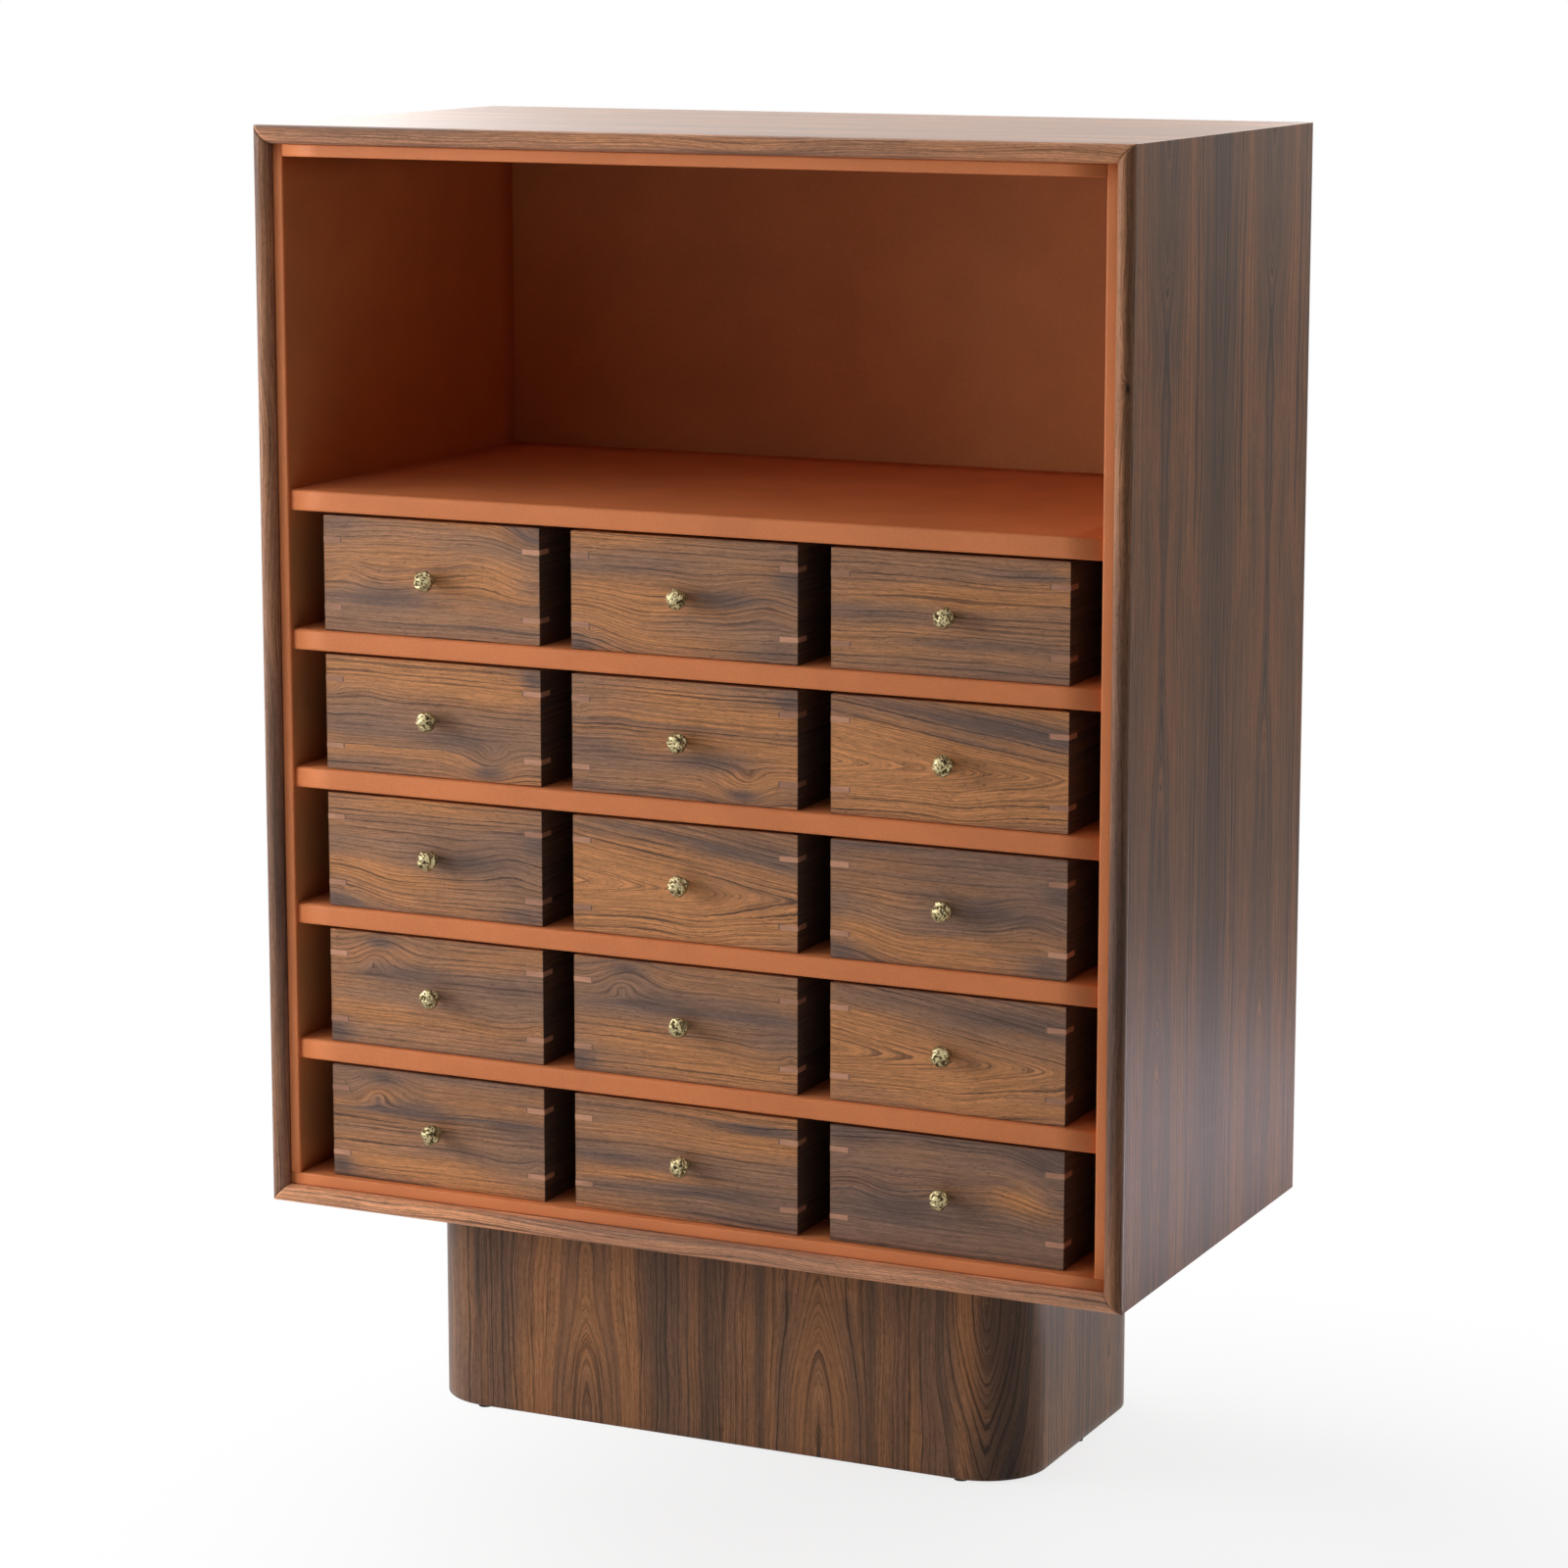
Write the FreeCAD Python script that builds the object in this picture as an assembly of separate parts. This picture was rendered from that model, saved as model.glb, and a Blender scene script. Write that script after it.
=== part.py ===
import FreeCAD, Part
import math
import os

# Jewelry cabinet: a walnut case on a rounded plinth, a leather-clad liner with five
# leather-wrapped shelves, and fifteen keyed drawers that slide forward on the shelves.
# Millimetres. X runs along the front, Y from the front to the rear, Z up from the floor.
# The origin is on the floor, below the middle of the whole cabinet, knobs included.

# Case
case_width = 900.0
case_depth = 470.0
case_height = 1060.0
panel_thickness = 18.0
back_thickness = 6.0
back_lap = 8.0

# Half-round lipping along the front edges of the case
lip_land = 1.0
lip_radius = panel_thickness / 2

# Leather-clad liner inside the case
liner_side_thickness = 11.0
liner_cap_thickness = 12.0
liner_back_thickness = 7.0
liner_fold_radius = 1.6

# Leather-wrapped shelves, the top one being the floor of the display niche
shelf_thickness = 20.0
shelf_recess = 3.5
shelf_fold_radius = 3.0
row_height = 116.0
row_count = 5

# Drawers
column_count = 3
drawer_gap = 33.5
drawer_recess = 9.0
drawer_head_gap = 3.2
drawer_foot_gap = 0.4
drawer_rear_gap = 12.0
wall_thickness = 14.0
floor_thickness = 5.0
floor_groove = 5.0

# Keys let in across the mitred corners of the drawers
key_leg = 20.0
key_thickness = 5.0
key_inset = 23.5

# Centre guide on the shelf, with the stop that ends the travel
guide_width = 14.0
guide_height = 7.0
guide_front_gap = 6.0
guide_side_gap = 0.4
guide_head_gap = 0.8
stop_height = 2.0
stop_length = 10.0
stop_gap = 0.5
runner_width = 10.0
drawer_stay_in = 136.0

# Cast nugget knobs
knob_diameter = 18.5
knob_reach = 13.5
neck_diameter = 8.5
neck_sides = 16
spigot_diameter = 6.0
spigot_length = 9.0
spigot_gap = 0.2
spigot_sides = 12
nugget_rings = 5
nugget_sides = 11
nugget_dent_share = 0.13

# Plinth
plinth_height = 210.0
plinth_side_setback = 128.0
plinth_front_setback = 70.0
plinth_rear_setback = 78.0
plinth_corner_radius = 64.0
skirt_thickness = 16.0
plinth_board_thickness = 18.0
plinth_board_gap = 0.3
glide_diameter = 14.0
glide_thickness = 2.0

# Overrun of the cutting shapes
overrun = 2.0

# Places that follow from the sizes
lip_reach = lip_land + lip_radius
knob_front = knob_reach + knob_diameter / 2 - drawer_recess
front_reach = max(lip_reach, knob_front)
rear_y = (case_depth + front_reach) / 2
face_y = rear_y - case_depth
case_half = case_width / 2
case_inner_half = case_half - panel_thickness
case_bottom_z = plinth_height
case_top_z = case_bottom_z + case_height
case_floor_z = case_bottom_z + panel_thickness
case_ceiling_z = case_top_z - panel_thickness
back_front_y = rear_y - back_thickness

liner_half = case_inner_half - liner_side_thickness
liner_floor_z = case_floor_z + liner_cap_thickness
liner_ceiling_z = case_ceiling_z - liner_cap_thickness
liner_rear_y = back_front_y - liner_back_thickness
shelf_pitch = row_height + shelf_thickness

drawer_width = (2 * liner_half - (column_count + 1) * drawer_gap) / column_count
drawer_half = drawer_width / 2
drawer_height = row_height - drawer_head_gap - drawer_foot_gap
drawer_front_y = face_y + drawer_recess
drawer_depth = liner_rear_y - drawer_rear_gap - drawer_front_y
drawer_travel = drawer_depth - drawer_stay_in
floor_raise = guide_height + stop_height + guide_head_gap

plinth_half = case_half - plinth_side_setback
plinth_front_y = face_y + plinth_front_setback
plinth_rear_y = rear_y - plinth_rear_setback


def box(x0, x1, y0, y1, z0, z1):
    corner = FreeCAD.Vector(x0, y0, z0)
    return Part.makeBox(x1 - x0, y1 - y0, z1 - z0, corner)


def prism_along_y(outline, y0, y1):
    # The outline is a closed list of (x, z) points.
    points = [FreeCAD.Vector(x, y0, z) for x, z in outline]
    face = Part.Face(Part.makePolygon(points + points[:1]))
    return face.extrude(FreeCAD.Vector(0, y1 - y0, 0))


def prism_along_z(outline, z0, z1):
    # The outline is a closed list of (x, y) points.
    points = [FreeCAD.Vector(x, y, z0) for x, y in outline]
    face = Part.Face(Part.makePolygon(points + points[:1]))
    return face.extrude(FreeCAD.Vector(0, 0, z1 - z0))


def bar_along_y(diameter, sides, y0, y1, z):
    # A round bar, given flats because fifteen drawers each hold one.
    step = 2 * math.pi / sides
    outline = [
        (diameter / 2 * math.cos(step * side), z + diameter / 2 * math.sin(step * side))
        for side in range(sides)
    ]
    return prism_along_y(outline, y0, y1)


def moved(shape, x, y, z):
    copy = shape.copy()
    copy.translate(FreeCAD.Vector(x, y, z))
    return copy


def mirrored_in_x(shape):
    return shape.mirror(FreeCAD.Vector(0, 0, 0), FreeCAD.Vector(1, 0, 0))


def soften_front(shape, radius):
    # Leather turns over the edges of the front face in a small round.
    front = shape.BoundBox.YMin
    edges = [edge for edge in shape.Edges if edge.BoundBox.YMax - front < radius]
    return shape.makeFillet(radius, edges)


def rounded_block(half, y0, y1, radius, z0, z1):
    block = box(-half, half, y0, y1, z0, z1)
    upright = [edge for edge in block.Edges if edge.BoundBox.ZLength > (z1 - z0) / 2]
    return block.makeFillet(radius, upright)


# Case panels, mitred where they meet


def back_rebate():
    half = case_inner_half + back_lap
    z0 = case_floor_z - back_lap
    z1 = case_ceiling_z + back_lap
    return box(-half, half, back_front_y, rear_y + overrun, z0, z1)


def side_outline():
    return [
        (case_half, case_bottom_z),
        (case_half, case_top_z),
        (case_inner_half, case_ceiling_z),
        (case_inner_half, case_floor_z),
    ]


def cap_outline(outer_z, inner_z):
    return [
        (-case_half, outer_z),
        (case_half, outer_z),
        (case_inner_half, inner_z),
        (-case_inner_half, inner_z),
    ]


def case_side():
    panel = prism_along_y(side_outline(), face_y, rear_y)
    return panel.cut(back_rebate())


def case_top():
    outline = cap_outline(case_top_z, case_ceiling_z)
    return prism_along_y(outline, face_y, rear_y).cut(back_rebate())


def case_bottom():
    outline = cap_outline(case_bottom_z, case_floor_z)
    return prism_along_y(outline, face_y, rear_y).cut(back_rebate())


def case_back():
    half = case_inner_half + back_lap
    z0 = case_floor_z - back_lap
    z1 = case_ceiling_z + back_lap
    return box(-half, half, back_front_y, rear_y, z0, z1)


# Lipping: four half-round lengths, mitred at the corners


def lip_section(middle, across):
    # Section in the plane of Y and one other axis, drawn from its rear edge to its round.
    def place(offset, y):
        return FreeCAD.Vector(0, y, 0) + across * (middle + offset)

    land_y = face_y - lip_land
    inner_rear = place(-lip_radius, face_y)
    inner_land = place(-lip_radius, land_y)
    nose = place(0, face_y - lip_reach)
    outer_land = place(lip_radius, land_y)
    outer_rear = place(lip_radius, face_y)
    edges = [
        Part.makeLine(inner_rear, inner_land),
        Part.Arc(inner_land, nose, outer_land).toShape(),
        Part.makeLine(outer_land, outer_rear),
        Part.makeLine(outer_rear, inner_rear),
    ]
    return Part.Face(Part.Wire(edges))


def upright_lip():
    section = lip_section(case_half - lip_radius, FreeCAD.Vector(1, 0, 0))
    section.translate(FreeCAD.Vector(0, 0, case_bottom_z))
    bar = section.extrude(FreeCAD.Vector(0, 0, case_height))
    return bar.common(prism_along_y(side_outline(), face_y - lip_reach, face_y))


def level_lip(outer_z, inner_z):
    section = lip_section((outer_z + inner_z) / 2, FreeCAD.Vector(0, 0, 1))
    section.translate(FreeCAD.Vector(-case_half, 0, 0))
    bar = section.extrude(FreeCAD.Vector(case_width, 0, 0))
    outline = cap_outline(outer_z, inner_z)
    return bar.common(prism_along_y(outline, face_y - lip_reach, face_y))


def front_lipping():
    right = upright_lip()
    top = level_lip(case_top_z, case_ceiling_z)
    bottom = level_lip(case_bottom_z, case_floor_z)
    return [right, mirrored_in_x(right), top, bottom]


# Leather-clad liner


def liner_side():
    x0 = liner_half
    x1 = case_inner_half
    panel = box(x0, x1, face_y, back_front_y, liner_floor_z, case_ceiling_z)
    return soften_front(panel, liner_fold_radius)


def liner_top():
    half = liner_half
    panel = box(-half, half, face_y, back_front_y, liner_ceiling_z, case_ceiling_z)
    return soften_front(panel, liner_fold_radius)


def liner_floor():
    half = case_inner_half
    panel = box(-half, half, face_y, back_front_y, case_floor_z, liner_floor_z)
    return soften_front(panel, liner_fold_radius)


def liner_back():
    half = liner_half
    return box(-half, half, liner_rear_y, back_front_y, liner_floor_z, liner_ceiling_z)


# Shelves and what stands on them


def row_floor_z(row):
    # Row 1 is the highest row of drawers.
    return liner_floor_z + (row_count - row) * shelf_pitch


def column_x(column):
    middle = (column_count + 1) / 2
    return (column - middle) * (drawer_width + drawer_gap)


def shelf(row):
    z0 = row_floor_z(row) + row_height
    y0 = face_y + shelf_recess
    board = box(-liner_half, liner_half, y0, liner_rear_y, z0, z0 + shelf_thickness)
    return soften_front(board, shelf_fold_radius)


def guide():
    # Drawn for a drawer whose front is at Y 0 and whose shelf is at Z 0.
    half = guide_width / 2
    y0 = wall_thickness + guide_front_gap
    y1 = drawer_depth + drawer_rear_gap
    rail = box(-half, half, y0, y1, 0, guide_height)
    stop_y = drawer_stay_in - wall_thickness - stop_gap
    stop_z = guide_height + stop_height
    stop = box(-half, half, stop_y - stop_length, stop_y, 0, stop_z)
    return rail.fuse(stop).removeSplitter()


# Drawer pieces, drawn with the front at Y 0 and the foot of the walls at Z 0


def key(top_z):
    # A key is let in across a corner, flush with both faces.
    outline = [
        (drawer_half, 0),
        (drawer_half, key_leg),
        (drawer_half - key_leg, 0),
    ]
    return prism_along_z(outline, top_z - key_thickness, top_z)


def drawer_keys():
    lower = key_inset + key_thickness / 2
    upper = drawer_height - key_inset + key_thickness / 2
    front_right = [key(lower), key(upper)]
    middle = FreeCAD.Vector(0, drawer_depth / 2, 0)
    rear_right = [one.mirror(middle, FreeCAD.Vector(0, 1, 0)) for one in front_right]
    right = front_right + rear_right
    return right + [mirrored_in_x(one) for one in right]


def drawer_floor():
    half = drawer_half - wall_thickness + floor_groove
    y0 = wall_thickness - floor_groove
    y1 = drawer_depth - wall_thickness + floor_groove
    return box(-half, half, y0, y1, floor_raise, floor_raise + floor_thickness)


def drawer_end():
    # Outline of the front wall, which the rear wall mirrors.
    inner = drawer_half - wall_thickness
    outline = [
        (-drawer_half, 0),
        (drawer_half, 0),
        (inner, wall_thickness),
        (-inner, wall_thickness),
    ]
    return prism_along_z(outline, 0, drawer_height)


def drawer_side():
    inner = drawer_half - wall_thickness
    outline = [
        (drawer_half, 0),
        (drawer_half, drawer_depth),
        (inner, drawer_depth - wall_thickness),
        (inner, wall_thickness),
    ]
    return prism_along_z(outline, 0, drawer_height)


def spigot_hole():
    diameter = spigot_diameter + 2 * spigot_gap
    end_y = spigot_length + spigot_gap
    return bar_along_y(diameter, spigot_sides, -overrun, end_y, drawer_height / 2)


def guide_notch():
    half = guide_width / 2 + guide_side_gap
    y0 = drawer_depth - wall_thickness - overrun
    y1 = drawer_depth + overrun
    return box(-half, half, y0, y1, -overrun, guide_height + guide_head_gap)


def runner():
    # One of the two strips under the drawer floor that run along the guide.
    x0 = guide_width / 2 + guide_side_gap
    y1 = drawer_depth - wall_thickness
    return box(x0, x0 + runner_width, wall_thickness, y1, 0, floor_raise)


def drawer_box(keys):
    middle = FreeCAD.Vector(0, drawer_depth / 2, 0)
    front = drawer_end()
    rear = front.mirror(middle, FreeCAD.Vector(0, 1, 0)).cut(guide_notch())
    front = front.cut(spigot_hole())
    side = drawer_side()
    floor = drawer_floor()
    walls = [front, side, mirrored_in_x(side), rear]
    cut_walls = [wall.cut([floor] + keys) for wall in walls]
    return cut_walls + [floor, runner(), mirrored_in_x(runner())]


# Knobs


def nugget_point(ring, side, turn):
    # Rings run from the front of the ball to its rear, and every other one is turned half a step.
    polar = math.pi * ring / (nugget_rings + 1)
    around = 2 * math.pi * (side + (ring % 2) / 2) / nugget_sides
    wave = math.sin(3 * around + 2 * ring + turn) * math.cos(2 * around - ring + 2 * turn)
    radius = knob_diameter / 2 * (1 - nugget_dent_share * (1 + wave) / 2)
    return FreeCAD.Vector(
        radius * math.sin(polar) * math.cos(around),
        -radius * math.cos(polar),
        radius * math.sin(polar) * math.sin(around),
    )


def triangle(a, b, c):
    return Part.Face(Part.makePolygon([a, b, c, a]))


def nugget(turn):
    # A lumpy ball about its own centre, each knob of the casting being a little different.
    rings = [
        [nugget_point(ring, side, turn) for side in range(nugget_sides)]
        for ring in range(1, nugget_rings + 1)
    ]
    front = FreeCAD.Vector(0, -knob_diameter / 2, 0)
    rear = FreeCAD.Vector(0, knob_diameter / 2, 0)
    faces = []
    for side in range(nugget_sides):
        after = (side + 1) % nugget_sides
        faces.append(triangle(front, rings[0][side], rings[0][after]))
        faces.append(triangle(rear, rings[-1][after], rings[-1][side]))
        for number, (near, far) in enumerate(zip(rings, rings[1:]), start=1):
            if number % 2:
                faces.append(triangle(near[side], far[after], near[after]))
                faces.append(triangle(near[side], far[side], far[after]))
            else:
                faces.append(triangle(near[side], far[side], near[after]))
                faces.append(triangle(near[after], far[side], far[after]))
    return Part.makeSolid(Part.makeShell(faces))


def drawer_knob(turn):
    z = drawer_height / 2
    ball = moved(nugget(turn), 0, -knob_reach, z)
    neck = bar_along_y(neck_diameter, neck_sides, -knob_reach, 0, z)
    spigot = bar_along_y(spigot_diameter, spigot_sides, 0, spigot_length, z)
    return ball.fuse([neck, spigot])


# Plinth


def plinth_skirt():
    z1 = case_bottom_z
    outer = rounded_block(
        plinth_half, plinth_front_y, plinth_rear_y, plinth_corner_radius, glide_thickness, z1
    )
    inner = rounded_block(
        plinth_half - skirt_thickness,
        plinth_front_y + skirt_thickness,
        plinth_rear_y - skirt_thickness,
        plinth_corner_radius - skirt_thickness,
        glide_thickness - overrun,
        z1 + overrun,
    )
    return outer.cut(inner)


def plinth_board():
    inset = skirt_thickness + plinth_board_gap
    return rounded_block(
        plinth_half - inset,
        plinth_front_y + inset,
        plinth_rear_y - inset,
        plinth_corner_radius - inset,
        case_bottom_z - plinth_board_thickness,
        case_bottom_z,
    )


def floor_glides():
    inset = skirt_thickness / 2
    end_x = plinth_half - inset
    corner_x = plinth_half - plinth_corner_radius
    front_y = plinth_front_y + inset
    rear_glide_y = plinth_rear_y - inset
    middle_y = (plinth_front_y + plinth_rear_y) / 2
    right = [(corner_x, front_y), (corner_x, rear_glide_y), (end_x, middle_y)]
    discs = [
        Part.makeCylinder(glide_diameter / 2, glide_thickness, FreeCAD.Vector(x, y, 0))
        for x, y in right
    ]
    return discs + [mirrored_in_x(disc) for disc in discs]


# Assembly


def fixed_pieces():
    side = case_side()
    lined_side = liner_side()
    rows = range(1, row_count + 1)
    columns = range(1, column_count + 1)
    rail = guide()
    guides = [
        moved(rail, column_x(column), drawer_front_y, row_floor_z(row))
        for row in rows
        for column in columns
    ]
    return {
        "case_side_left": [mirrored_in_x(side)],
        "case_side_right": [side],
        "case_top": [case_top()],
        "case_bottom": [case_bottom()],
        "case_back": [case_back()],
        "front_lipping": front_lipping(),
        "liner_sides": [mirrored_in_x(lined_side), lined_side],
        "liner_top": [liner_top()],
        "liner_floor": [liner_floor()],
        "liner_back": [liner_back()],
        "leather_shelves": [shelf(row) for row in rows],
        "drawer_guides": guides,
        "plinth_skirt": [plinth_skirt()],
        "plinth_board": [plinth_board()],
        "floor_glides": floor_glides(),
    }


def drawer_pieces():
    keys = drawer_keys()
    walls = drawer_box(keys)
    pieces = {}
    for row in range(1, row_count + 1):
        z = row_floor_z(row) + drawer_foot_gap
        for column in range(1, column_count + 1):
            name = f"drawer_r{row}c{column}"
            place = (column_x(column), drawer_front_y, z)
            turn = row + column * column_count
            pieces[name + "_box"] = [moved(wall, *place) for wall in walls]
            pieces[name + "_keys"] = [moved(one, *place) for one in keys]
            pieces[name + "_knob"] = [moved(drawer_knob(turn), *place)]
    return pieces


def main():
    os.makedirs("parts", exist_ok=True)
    pieces = {**fixed_pieces(), **drawer_pieces()}
    for name, solids in pieces.items():
        shape = solids[0] if len(solids) == 1 else Part.makeCompound(solids)
        shape.exportStep(f"parts/{name}.step")
        print(name, len(shape.Solids), shape.isValid(), round(shape.Volume))
    print("drawer width, height, depth, travel:")
    print(drawer_width, drawer_height, drawer_depth, drawer_travel)


main()
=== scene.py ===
import math

import bmesh
import bpy
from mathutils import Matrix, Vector, noise


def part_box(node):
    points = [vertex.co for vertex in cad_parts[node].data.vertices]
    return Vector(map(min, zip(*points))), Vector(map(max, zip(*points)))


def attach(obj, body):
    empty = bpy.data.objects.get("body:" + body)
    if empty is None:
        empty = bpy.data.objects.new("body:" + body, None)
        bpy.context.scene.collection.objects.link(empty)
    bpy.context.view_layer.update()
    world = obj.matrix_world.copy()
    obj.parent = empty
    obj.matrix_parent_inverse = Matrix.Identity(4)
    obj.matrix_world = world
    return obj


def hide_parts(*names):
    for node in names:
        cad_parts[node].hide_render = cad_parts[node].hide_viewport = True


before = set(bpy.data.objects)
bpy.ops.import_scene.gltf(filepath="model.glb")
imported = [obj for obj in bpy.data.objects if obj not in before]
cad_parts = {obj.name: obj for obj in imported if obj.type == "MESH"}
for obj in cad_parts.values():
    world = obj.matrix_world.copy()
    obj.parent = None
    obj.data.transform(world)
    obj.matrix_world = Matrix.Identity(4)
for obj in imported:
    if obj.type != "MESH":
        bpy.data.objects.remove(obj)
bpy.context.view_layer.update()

# Sizes in metres, read from the frame where a node gives them
MM = 0.001
CASE_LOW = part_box("case_side_left")[0]
CASE_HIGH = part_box("case_side_right")[1]
FACE_Y = CASE_LOW.y
MIDDLE_Y = (FACE_Y + CASE_HIGH.y) / 2
DEPTH = CASE_HIGH.y - FACE_Y
CASE_HALF = CASE_HIGH.x
CASE_WIDTH = 2 * CASE_HALF
CASE_HEIGHT = CASE_HIGH.z - CASE_LOW.z
CASE_MIDDLE_Z = (CASE_LOW.z + CASE_HIGH.z) / 2
LINER_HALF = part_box("liner_back")[1].x
ROWS = range(1, 6)
COLUMNS = range(1, 4)

# Sizes of the real pieces that no node's box gives
PANEL = 18 * MM
BACK_REBATE = (8 * MM, 6 * MM)
LIP_LAND = 1 * MM
LIP_RADIUS = PANEL / 2
LIP_STEPS = 18
ARRIS = 0.5 * MM
SEAM = 0.05 * MM
LINER_FOLD = 1.6 * MM
SHELF_FOLD = 3 * MM
SHELF_THICKNESS = 20 * MM
ROW_PITCH = 136 * MM
WALL = 14 * MM
DRAWER_FLOOR = 5 * MM
FLOOR_RAISE = 9.8 * MM
FLOOR_TONGUE = 1 * MM
FLOOR_ARRIS = 0.1 * MM
KEY_LEG = 20 * MM
KEY_THICKNESS = 5 * MM
KEY_PROUD = 0.06 * MM
KEY_GLUE = (0.92, 0.93)
NUGGET_RADII = (9.9 * MM, 9.1 * MM, 10.6 * MM)
NUGGET_MIDDLE = 9.25 * MM
NECK_RADIUS = 4.2 * MM
NECK_SIDES = 28
COLLAR_RADIUS = 1.15 * NECK_RADIUS
COLLAR = (0.6 * MM, 1.1 * MM)
PLINTH_RADIUS = 64 * MM
SKIRT = 16 * MM
SKIRT_ARRIS = 0.8 * MM
SKIRT_SINK = 0.2 * MM

# Distances between the points of a mesh, across a board and along it
PANEL_STEPS = (5 * MM, 10 * MM)
BACK_STEPS = (6 * MM, 10 * MM)
FRONT_STEPS = (2.6 * MM, 3 * MM)
DRAWER_STEPS = (8 * MM, 10 * MM)
TRAY_STEPS = (12 * MM, 12 * MM)
SKIRT_STEPS = (4 * MM, 8 * MM)
LIP_STEP = 4 * MM
LEATHER_STEP = 40 * MM

X = Vector((1, 0, 0))
Y = Vector((0, 1, 0))
Z = Vector((0, 0, 1))


# Shader helpers


def new_material(name):
    material = bpy.data.materials.new(name)
    material.use_nodes = True
    tree = material.node_tree
    tree.nodes.clear()
    return material, tree


def put(tree, socket, value):
    if isinstance(value, bpy.types.NodeSocket):
        tree.links.new(value, socket)
    else:
        socket.default_value = value


def node(tree, kind, inputs=(), **settings):
    made = tree.nodes.new(kind)
    for key, value in settings.items():
        setattr(made, key, value)
    for key, value in dict(inputs).items():
        put(tree, made.inputs[key], value)
    return made


def calc(tree, operation, a, b=None, clamp=False):
    inputs = {0: a} if b is None else {0: a, 1: b}
    return node(tree, "ShaderNodeMath", inputs, operation=operation, use_clamp=clamp).outputs[0]


def times(tree, a, b, clamp=False):
    return calc(tree, "MULTIPLY", a, b, clamp)


def noise_node(tree, vector, detail=2.0, roughness=0.5, scale=1.0):
    inputs = {"Vector": vector, "Scale": scale, "Detail": detail, "Roughness": roughness}
    return node(tree, "ShaderNodeTexNoise", inputs).outputs["Fac"]


def ramp(tree, value, low, high, out_low=0.0, out_high=1.0):
    inputs = {"Value": value, "From Min": low, "From Max": high}
    inputs.update({"To Min": out_low, "To Max": out_high})
    made = node(tree, "ShaderNodeMapRange", inputs, interpolation_type="SMOOTHSTEP")
    return made.outputs["Result"]


def mix_colour(tree, factor, a, b, blend="MIX"):
    inputs = {0: factor, 6: a, 7: b}
    return node(tree, "ShaderNodeMix", inputs, data_type="RGBA", blend_type=blend).outputs[2]


def vertex_value(tree, name):
    return node(tree, "ShaderNodeAttribute", attribute_name=name).outputs["Fac"]


def vertex_vector(tree, name):
    vector = node(tree, "ShaderNodeAttribute", attribute_name=name).outputs["Vector"]
    return node(tree, "ShaderNodeSeparateXYZ", {0: vector}).outputs[:3]


def bump(tree, height, strength, distance):
    inputs = {"Height": height, "Strength": strength, "Distance": distance}
    return node(tree, "ShaderNodeBump", inputs).outputs[0]


def shade(tree, colour, value):
    return mix_colour(tree, 1.0, colour, value, "MULTIPLY")


def surface(tree, colour, roughness, normal, specular=0.5, metallic=0.0):
    inputs = {"Base Color": colour, "Roughness": roughness, "Normal": normal}
    inputs.update({"Specular IOR Level": specular, "Metallic": metallic})
    shader = node(tree, "ShaderNodeBsdfPrincipled", inputs)
    node(tree, "ShaderNodeOutputMaterial", {"Surface": shader.outputs[0]})


def rgb(red, green, blue):
    """A colour written as it looks on screen, 0 to 255, in the shader's linear units."""

    def linear(value):
        value /= 255
        return value / 12.92 if value <= 0.04045 else ((value + 0.055) / 1.055) ** 2.4

    return (linear(red), linear(green), linear(blue), 1.0)


# Walnut. Every board carries two vertex attributes. "grain" holds the distance along the grain,
# the place across the growth rings and the board's own offset. "tone" holds how warm the wood
# is there (cool below zero), how light it is and how strong its figure is.


# Each noise in walnut: changes per metre along the grain and across it, detail and roughness
WALNUT_NOISES = {
    "jitter": (40.0, 240.0, 5.0, 0.66),
    "broad": (3.0, 24.0, 2.0, 0.5),
    "band": (1.8, 95.0, 3.0, 0.6),
    "fade": (12.0, 150.0, 2.0, 0.5),
    "hair": (22.0, 560.0, 3.0, 0.6),
    "fibre": (90.0, 1050.0, 3.0, 0.7),
    "pore": (150.0, 1200.0, 1.0, 0.5),
}
JITTER = 3.2 * MM
LINE_SHARE = 0.85
PORE_SHARE = 0.55


def walnut_noise(tree, name, along, across, offset):
    """One of the noises, drawn out along the grain."""
    along_scale, across_scale, detail, roughness = WALNUT_NOISES[name]
    x = times(tree, along, along_scale)
    y = times(tree, across, across_scale)
    place = node(tree, "ShaderNodeCombineXYZ", {0: x, 1: y, 2: offset}).outputs[0]
    return noise_node(tree, place, detail, roughness)


def ring_lines(tree, ring, offset, weakest, strongest):
    """Growth rings that darken slowly and end in a dark line, some stronger than others. ring
    counts them across the board."""
    number = calc(tree, "FLOOR", ring)
    number = calc(tree, "ADD", number, times(tree, offset, 7.7))
    dice = node(tree, "ShaderNodeTexWhiteNoise", {"W": number}, noise_dimensions="1D")
    strength = ramp(tree, dice.outputs[0], 0.0, 1.0, weakest, strongest)
    share = calc(tree, "FRACT", ring)
    rise = ramp(tree, share, 0.44, 0.85)
    fall = ramp(tree, share, 0.90, 1.0, 1.0, 0.0)
    profile = calc(tree, "POWER", times(tree, rise, fall), 1.5)
    return times(tree, profile, strength)


def dark_lines(tree, across, offset, rings, band, fade):
    """Strong lines that fade in places, and finer ones between them."""

    def counted(per_metre, wander):
        ring = times(tree, across, per_metre)
        return calc(tree, "ADD", ring, times(tree, band, wander))

    strong = ring_lines(tree, counted(rings, 2.2), offset, 0.2, 1.0)
    strong = times(tree, strong, ramp(tree, fade, 0.30, 0.60, 0.45, 1.0))
    fine = ring_lines(tree, counted(2.7 * rings, 4.0), offset, 0.0, 0.7)
    return calc(tree, "MAXIMUM", strong, fine)


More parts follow.
